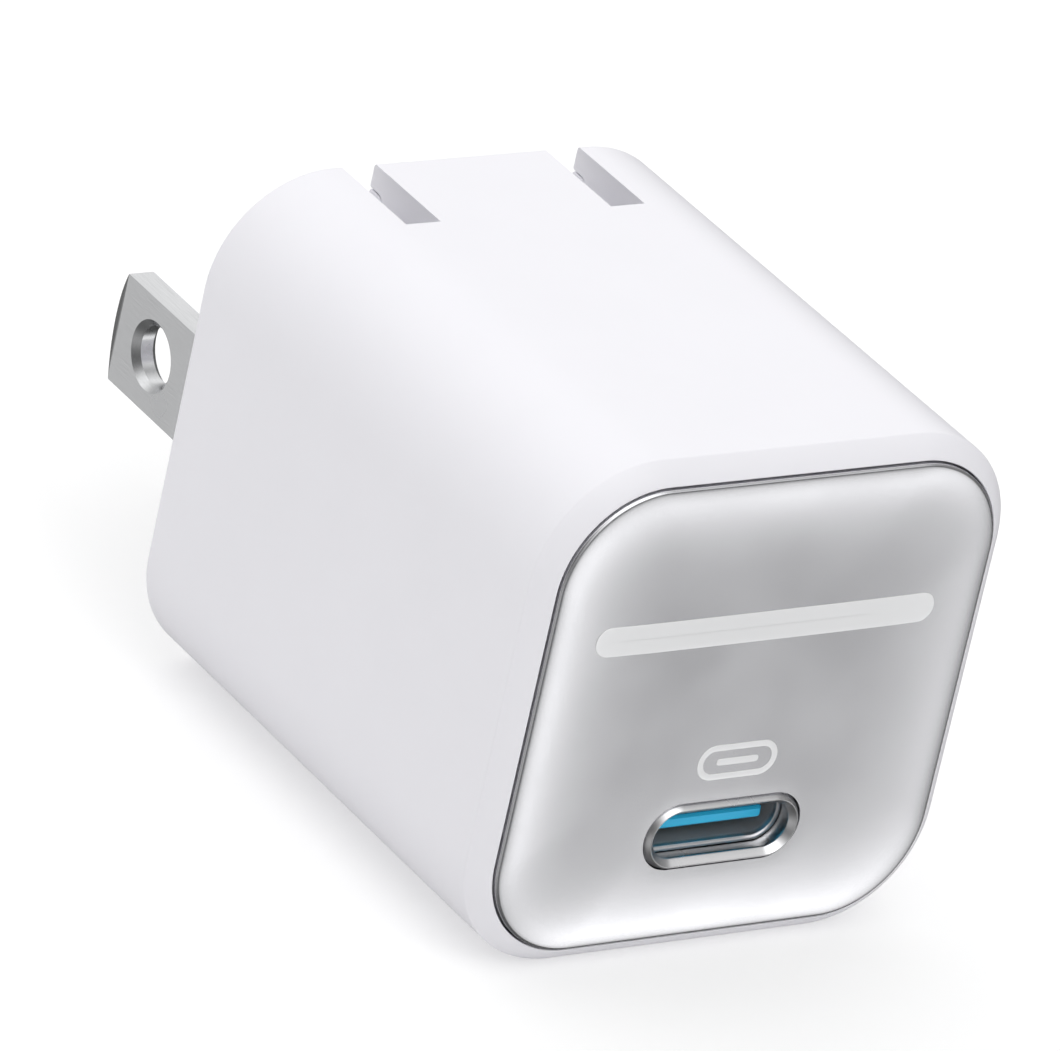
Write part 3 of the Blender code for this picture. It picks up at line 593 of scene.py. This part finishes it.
outline = rounded_loop(PANEL_HALF, PANEL_HALF, PANEL_CORNER, arc=BODY_ARC, run=36)
rings = [ring_at(outline, PANEL_BACK_Y, z=BODY_Z)]
rings += [panel_ring(EDGE_ROLL * (1 - math.cos(math.radians(a)))) for a in (0, 12, 26, 40, 54, 68, 80, 90)]
inset = EDGE_ROLL
while inset < PANEL_HALF * 0.985:
    inset += 0.10 + 0.10 * inset if inset < 2 else 0.28
    rings.append(panel_ring(min(inset, PANEL_HALF * 0.985)))
panel = to_object(loft(rings, cap_first=True, cap_last=True), "front_panel_plate", SILVER)
hole = stadium_loop(RING_W + 0.05, RING_H + 0.05, arc=20)
boolean(panel, "DIFFERENCE", loft([ring_at(hole, -35.0, z=PORT_Z), ring_at(hole, -31.0, z=PORT_Z)], cap_first=True, cap_last=True))
soften(panel, 0.0, sharp=45.0)
place(panel, "housing", "panel_silver", "front_panel")


# ---------------------------------------------------------------- generic marks on the panel
MARK_PROUD = 0.022


def mark_ring(loop, x, z, lift):
    return [Vector((x + px, panel_y(x + px, z + pz) - lift, z + pz)) for px, pz in loop]


def printed_bar(name, x, z, half_x, half_z, run=24):
    insets = [(0.0, -0.02), (0.0, MARK_PROUD * 0.5), (0.012, MARK_PROUD * 0.87), (0.030, MARK_PROUD)]
    inset = 0.12
    while inset < half_z - 0.02:
        insets.append((inset, MARK_PROUD))
        inset += 0.14
    insets.append((half_z - 0.006, MARK_PROUD))
    rings = [mark_ring(stadium_loop(half_x - d, half_z - d, arc=10, run=run), x, z, lift) for d, lift in insets]
    made = to_object(loft(rings, cap_first=True, cap_last=True), name, MARK)
    soften(made, 0.0, sharp=70.0)
    return place(made, "housing", "panel_silver")


def printed_outline(name, x, z, half_x, half_z, line, run=12):
    section = [(0.0, -0.02), (0.0, MARK_PROUD * 0.5), (0.012, MARK_PROUD * 0.87), (0.030, MARK_PROUD),
               (line - 0.030, MARK_PROUD), (line - 0.012, MARK_PROUD * 0.87), (line, MARK_PROUD * 0.5), (line, -0.02)]
    rings = [mark_ring(stadium_loop(half_x - d, half_z - d, arc=14, run=run), x, z, lift) for d, lift in section]
    made = to_object(loft(rings, closed=True), name, MARK)
    soften(made, 0.0, sharp=70.0)
    return place(made, "housing", "panel_silver")


printed_bar("mark_bar", -0.22, 8.90, 10.35, 0.85)
printed_outline("mark_port_outline", -0.12, 1.10, 2.45, 1.02, 0.36)
printed_bar("mark_port_slot", -0.12, 1.10, 1.30, 0.20, run=8)

# ---------------------------------------------------------------- polished ring round the port
lip = RING_FRONT_Y
CREST_W, CREST_H = RING_W - 0.28, RING_H - 0.26
LEAD = 0.335                            # 45 degree lead-in inside the crest
section = [(RING_W, RING_H, RING_BACK_Y), (RING_W, RING_H, lip + 0.44)]
for k in range(1, 4):                   # edge at the foot of the band
    a = math.radians(18 * k)
    section.append((RING_W - 0.10 * (1 - math.cos(a)), RING_H - 0.10 * (1 - math.cos(a)), lip + 0.44 - 0.10 * math.sin(a)))
foot = section[-1]
for k in range(1, 9):                   # the band: a cone with a slight bulge
    t = k / 8
    bulge_out = 0.016 * math.sin(math.pi * t)
    section.append((foot[0] + (CREST_W + 0.045 - foot[0]) * t + bulge_out, foot[1] + (CREST_H + 0.045 - foot[1]) * t + bulge_out,
                    foot[2] + (lip + 0.028 - foot[2]) * t - bulge_out))
for k in range(1, 8):                   # crest
    t = k / 8
    section.append((CREST_W + 0.045 - 0.090 * t, CREST_H + 0.045 - 0.090 * t, lip + 0.028 * (2 * t - 1) ** 2))
for k in range(0, 7):                   # lead-in
    t = k / 6
    section.append((CREST_W - 0.045 - (LEAD - 0.065) * t, CREST_H - 0.045 - (LEAD - 0.065) * t, lip + 0.028 + (LEAD - 0.042) * t - 0.006 * math.sin(math.pi * t)))
throat = (CREST_W - LEAD, CREST_H - LEAD, lip + LEAD + 0.05)
section.append((throat[0] + 0.004, throat[1] + 0.004, lip + LEAD + 0.01))
section.append(throat)
back = (CREST_W - 0.05, CREST_H - 0.05, RING_BACK_Y - 0.01)
for k in range(1, 7):                   # the mouth widens again behind the lead-in
    t = k / 6
    section.append(tuple(throat[n] + (back[n] - throat[n]) * t for n in range(3)))
section.append((back[0] + 0.01, back[1] + 0.01, RING_BACK_Y))
rings = [ring_at(stadium_loop(half_x, half_z, arc=24, run=12), y, z=PORT_Z) for half_x, half_z, y in section]
ring = to_object(loft(rings, closed=True), "port_ring", CHROME)
soften(ring, 0.0, sharp=50.0)
place(ring, "housing", "ring_chrome", "port_trim_ring")

# ---------------------------------------------------------------- receptacle
lip = USB_FRONT_Y - 0.07                # the front edge reaches almost to the ring's back
section = [(0.0, USB_BACK_Y), (0.0, lip + 0.03), (0.009, lip + 0.009), (0.03, lip),
           (USB_WALL - 0.05, lip + 0.026), (USB_WALL - 0.015, lip + 0.042), (USB_WALL, lip + 0.080),
           (USB_WALL, lip + 0.40), (USB_WALL, USB_BACK_Y)]
rings = [ring_at(stadium_loop(USB_W - d, USB_H - d, arc=20, run=10), y, z=PORT_Z) for d, y in section]
steel = to_object(loft(rings, closed=True), "receptacle_shell", STEEL)
soften(steel, 0.0, sharp=50.0)
place(steel, "housing", "port_steel", "usb_c_shell")

root_y = -27.0
section = [(0.10, root_y), (0.0, root_y + 0.10), (0.0, TONGUE_BACK_Y - 0.10), (0.10, TONGUE_BACK_Y)]
root_w, root_h = USB_W - USB_WALL - 0.08, USB_H - USB_WALL - 0.08
tongue = to_object(loft([ring_at(stadium_loop(root_w - d, root_h - d, arc=16), y, z=PORT_Z) for d, y in section],
                        cap_first=True, cap_last=True), "receptacle_tongue", BLUE)
rings = []
for d, y in ((0.150, TONGUE_FRONT_Y), (0.135, TONGUE_FRONT_Y + 0.006), (0.020, TONGUE_FRONT_Y + 0.121), (0.006, TONGUE_FRONT_Y + 0.142),
             (0.0, TONGUE_FRONT_Y + 0.17), (0.0, root_y + 0.6)):
    rings.append(ring_at(rounded_loop(TONGUE_W - d, TONGUE_H - d, 0.17 - d * 0.5, arc=5), y, z=PORT_Z))
boolean(tongue, "UNION", loft(rings, cap_first=True, cap_last=True))
soften(tongue, 0.0, sharp=40.0)
place(tongue, "housing", "tongue_blue", "usb_c_tongue")


# ---------------------------------------------------------------- plug blades
def blade_outline():
    radius = (BLADE_HALF ** 2 + BLADE_CROWN ** 2) / (2 * BLADE_CROWN)
    reach = math.degrees(math.asin(BLADE_HALF / radius))
    tip = arc_profile((BLADE_TIP_Y - radius, 0.0), radius, -reach, reach, 40)
    heel = [(-2.70, BLADE_HALF), (-3.30, BLADE_HALF - 0.14), (HEEL_Y, BLADE_HALF - 0.55), (HEEL_Y, HINGE_Z + 1.2)]
    corner = arc_profile((HINGE_Y, HINGE_Z), HINGE_Z + BLADE_HALF, 180, 270, 16)
    return tip + heel + [(corner[0][0], HINGE_Z + 0.5)] + corner


def blade(name, x, node):
    outline = blade_outline()
    rings = [[Vector((x + side * BLADE_THICK / 2, y, z)) for y, z in outline] for side in (-1, 1)]
    made = to_object(loft(rings, cap_first=True, cap_last=True), name, NICKEL)
    slope = math.atan2(0.40, BLADE_CROWN)
    for side in (-1, 1):
        wedge = block(0, 3, -1.0, 4, -5, 5)
        bmesh.ops.rotate(wedge, verts=wedge.verts, cent=(0, 0, 0), matrix=Matrix.Rotation(slope, 3, "Z"))
        if side < 0:
            bmesh.ops.scale(wedge, vec=(-1, 1, 1), verts=wedge.verts)
        bmesh.ops.translate(wedge, vec=(x + side * BLADE_THICK / 2, BLADE_TIP_Y - BLADE_CROWN, 0), verts=wedge.verts)
        boolean(made, "DIFFERENCE", wedge)
    deep, out = SINK_R - HOLE_R, 0.5
    half = BLADE_THICK / 2
    stations = ((-half - out, SINK_R + out), (-half + deep, HOLE_R), (half - deep, HOLE_R), (half + out, SINK_R + out))
    rings = [[Vector((x + dx, HOLE_Y + r * math.cos(math.tau * (k + 0.5) / 72), r * math.sin(math.tau * (k + 0.5) / 72)))
              for k in range(72)] for dx, r in stations]
    boolean(made, "DIFFERENCE", loft(rings, cap_first=True, cap_last=True))
    for side in (-1, 1):
        x0, x1 = sorted((x + side * (BLADE_THICK / 2 - 0.05), x + side * 3.0))
        boolean(made, "DIFFERENCE", block(x0, x1, -9.0, 0.12, -9.0, 9.0))
    boolean(made, "DIFFERENCE", cylinder(1.00, 6, (x, HINGE_Y, HINGE_Z), steps=36))
    split_flats(made)
    soften(made, 0.03, 2, angle=17.0, sharp=17.0)
    return place(made, "blades", "blade_nickel", node)


right = blade("plug_blade_right", BLADE_X, "blade_right")
mesh = right.data.copy()
mesh.transform(Matrix.Translation((-2 * BLADE_X * MM, 0, 0)))
left = bpy.data.objects.new("plug_blade_left", mesh)
scene.collection.objects.link(left)
place(left, "blades", "blade_nickel", "blade_left")

# ---------------------------------------------------------------- CAD nodes that stay, with their finish
FINISH = {
    "front_frame": FRAME, "usb_c_contacts_upper": GOLD, "usb_c_contacts_lower": GOLD, "port_board": BOARD,
    "protocol_chip": CHIP, "output_capacitor_1": POLYMER, "output_capacitor_2": POLYMER, "blade_carrier": NYLON,
    "hinge_retainer": NYLON, "contact_spring_left": COPPER, "contact_spring_right": COPPER, "detent_spring": SPRING,
    "input_board": BOARD, "input_fuse": FUSE, "surge_varistor": DISC_BLUE, "bridge_rectifier": CHIP,
    "x_capacitor": FILM, "y_capacitor": DISC_BLUE, "choke_core": FERRITE, "choke_winding_a": WIRE, "choke_winding_b": WIRE,
    "bulk_capacitor_1": CAN, "bulk_capacitor_2": CAN, "bulk_capacitor_3": CAN, "transformer_core_rear": FERRITE,
    "transformer_core_front": FERRITE, "transformer_bobbin": BOBBIN, "transformer_winding": TAPE, "main_board": BOARD,
    "gan_power_chip": CHIP, "sync_rectifier_chip": CHIP, "thermal_pad": PAD, "insulation_liner": LINER,
    "heat_spreader": SPREADER,
}
for name, mat in FINISH.items():
    node = frame["nodes"][name]
    node.data.materials.clear()
    node.data.materials.append(mat)
    node.data.polygons.foreach_set("material_index", [0] * len(node.data.polygons))
    weld = node.modifiers.new("weld", "WELD")
    weld.merge_threshold = 0.000002
    edge = node.modifiers.new("edges", "BEVEL")
    edge.width = 0.04 * MM
    edge.segments = 2
    edge.limit_method = "ANGLE"
    edge.angle_limit = math.radians(35)
    flats = node.modifiers.new("flats", "WEIGHTED_NORMAL")
    flats.keep_sharp = False
    node.data.shade_smooth()

# ================================================================ floor, light and camera
floor_z = cad_box[0][2] / 1.0
bm = bmesh.new()
bmesh.ops.create_grid(bm, x_segments=8, y_segments=8, size=2.2)
mesh = bpy.data.meshes.new("floor")
bm.to_mesh(mesh)
bm.free()
floor = bpy.data.objects.new("floor", mesh)
floor.location = (0.0, 0.0, floor_z - 0.00002)
scene.collection.objects.link(floor)
pale, tree, shader = begin("floor_white")
tree.links.new(tint(tree, spread(tree, noise(tree, coords(tree), 60.0, 2.0), 0, 1), (0.675, 0.675, 0.675), (0.685, 0.685, 0.685)), shader.inputs["Base Color"])
shader.inputs["Roughness"].default_value = 0.8
shader.inputs["Specular IOR Level"].default_value = 0.2
shader.inputs["Emission Color"].default_value = (1.0, 1.0, 1.0, 1.0)
shader.inputs["Emission Strength"].default_value = 0.35      # a lit white sweep, so that the shadow stays faint
mesh.materials.append(pale)
floor.visible_glossy = False

# The world is a soft studio of broad lights. Each is a direction, a sharpness and a strength; a strength
# below zero is a dark card that takes light away.
BASE = (0.065, 0.065, 0.065)
LIGHTS = [
    ((0.06, -0.63, 0.77), 5.0, 2.30),        # key, above and in front
    ((-0.37, 0.34, 0.86), 5.0, 1.54),        # top light, behind on the left
    ((0.45, 0.58, 0.68), 5.0, 0.66),         # top light, behind on the right
    ((-0.55, 0.78, -0.32), 5.0, 0.66),       # fill from behind, low on the left
    ((0.57, -0.61, -0.56), 60.0, 2.63),      # bounce that the lower front mirrors
    ((0.42, -0.80, -0.43), 60.0, 2.17),      # bounce that the left of the front mirrors
    ((0.64, -0.70, -0.31), 60.0, 1.97),      # bounce that the right of the front mirrors
    ((0.52, -0.80, -0.31), 60.0, 0.71),      # bounce that the upper front mirrors
    ((0.75, -0.59, -0.30), 60.0, -0.20),
    ((0.55, -0.71, -0.44), 60.0, -3.61),     # dark card that the middle of the front mirrors
    ((0.15, -0.94, 0.30), 18.0, -0.72),      # cards that keep the key off the left side and the port
    ((0.55, -0.71, 0.44), 18.0, -0.65),
    ((-0.79, -0.14, 0.59), 5.0, -0.25),
    ((0.55, 0.71, 0.44), 18.0, 0.40),        # glint for the blades' top edges
    ((-0.80, -0.42, -0.44), 12.0, 0.42),     # fill for the left of the port ring
    ((0.09, 0.89, -0.44), 18.0, -0.18),      # card that the blades' tips mirror
    ((0.55, -0.48, -0.68), 60.0, 0.28),      # bounce along the panel's lower edge
    ((0.75, -0.50, -0.44), 60.0, 0.24),      # bounce along the panel's right edge
    ((0.55, -0.20, 0.81), 18.0, -0.60),      # cards that grey the top of the port ring
    ((-0.58, -0.45, 0.69), 18.0, -0.25),
]
world = bpy.data.worlds.new("studio")
scene.world = world
world.use_nodes = True
tree = world.node_tree
background = tree.nodes["Background"]
where = tree.nodes.new("ShaderNodeTexCoord")
total = None
for axis, sharpness, strength in LIGHTS:
    dot = tree.nodes.new("ShaderNodeVectorMath")
    dot.operation = "DOT_PRODUCT"
    dot.inputs[1].default_value = Vector(axis).normalized()
    tree.links.new(where.outputs["Generated"], dot.inputs[0])
    fall = tree.nodes.new("ShaderNodeMath")
    fall.operation = "MULTIPLY_ADD"
    fall.inputs[1].default_value = sharpness
    fall.inputs[2].default_value = -sharpness
    tree.links.new(dot.outputs["Value"], fall.inputs[0])
    lobe = tree.nodes.new("ShaderNodeMath")
    lobe.operation = "EXPONENT"
    tree.links.new(fall.outputs["Value"], lobe.inputs[0])
    scaled = tree.nodes.new("ShaderNodeVectorMath")
    scaled.operation = "SCALE"
    scaled.inputs[0].default_value = (strength, strength, strength)
    tree.links.new(lobe.outputs["Value"], scaled.inputs["Scale"])
    added = tree.nodes.new("ShaderNodeVectorMath")
    added.operation = "ADD"
    tree.links.new(scaled.outputs["Vector"], added.inputs[0])
    if total is None:
        added.inputs[1].default_value = BASE
    else:
        tree.links.new(total, added.inputs[1])
    total = added.outputs["Vector"]
lowest = tree.nodes.new("ShaderNodeVectorMath")
lowest.operation = "MAXIMUM"
lowest.inputs[1].default_value = (0.02, 0.02, 0.02)
tree.links.new(total, lowest.inputs[0])
tree.links.new(lowest.outputs["Vector"], background.inputs["Color"])
world.cycles.sampling_method = "NONE"

camera = bpy.data.cameras.new("camera")
camera.lens = 369.3
camera.sensor_width = 36.0
camera.sensor_fit = "HORIZONTAL"
camera.clip_start, camera.clip_end = 0.01, 20.0
rig = bpy.data.objects.new("camera", camera)
rig.matrix_world = Matrix((
    (0.8300, 0.0890, -0.5506, -0.31008),
    (-0.5213, 0.4745, -0.7093, -0.41215),
    (0.1981, 0.8758, 0.4402, 0.25112),
    (0.0, 0.0, 0.0, 1.0),
))
scene.collection.objects.link(rig)
scene.camera = rig
scene.view_settings.view_transform = "Standard"
scene.view_settings.look = "None"
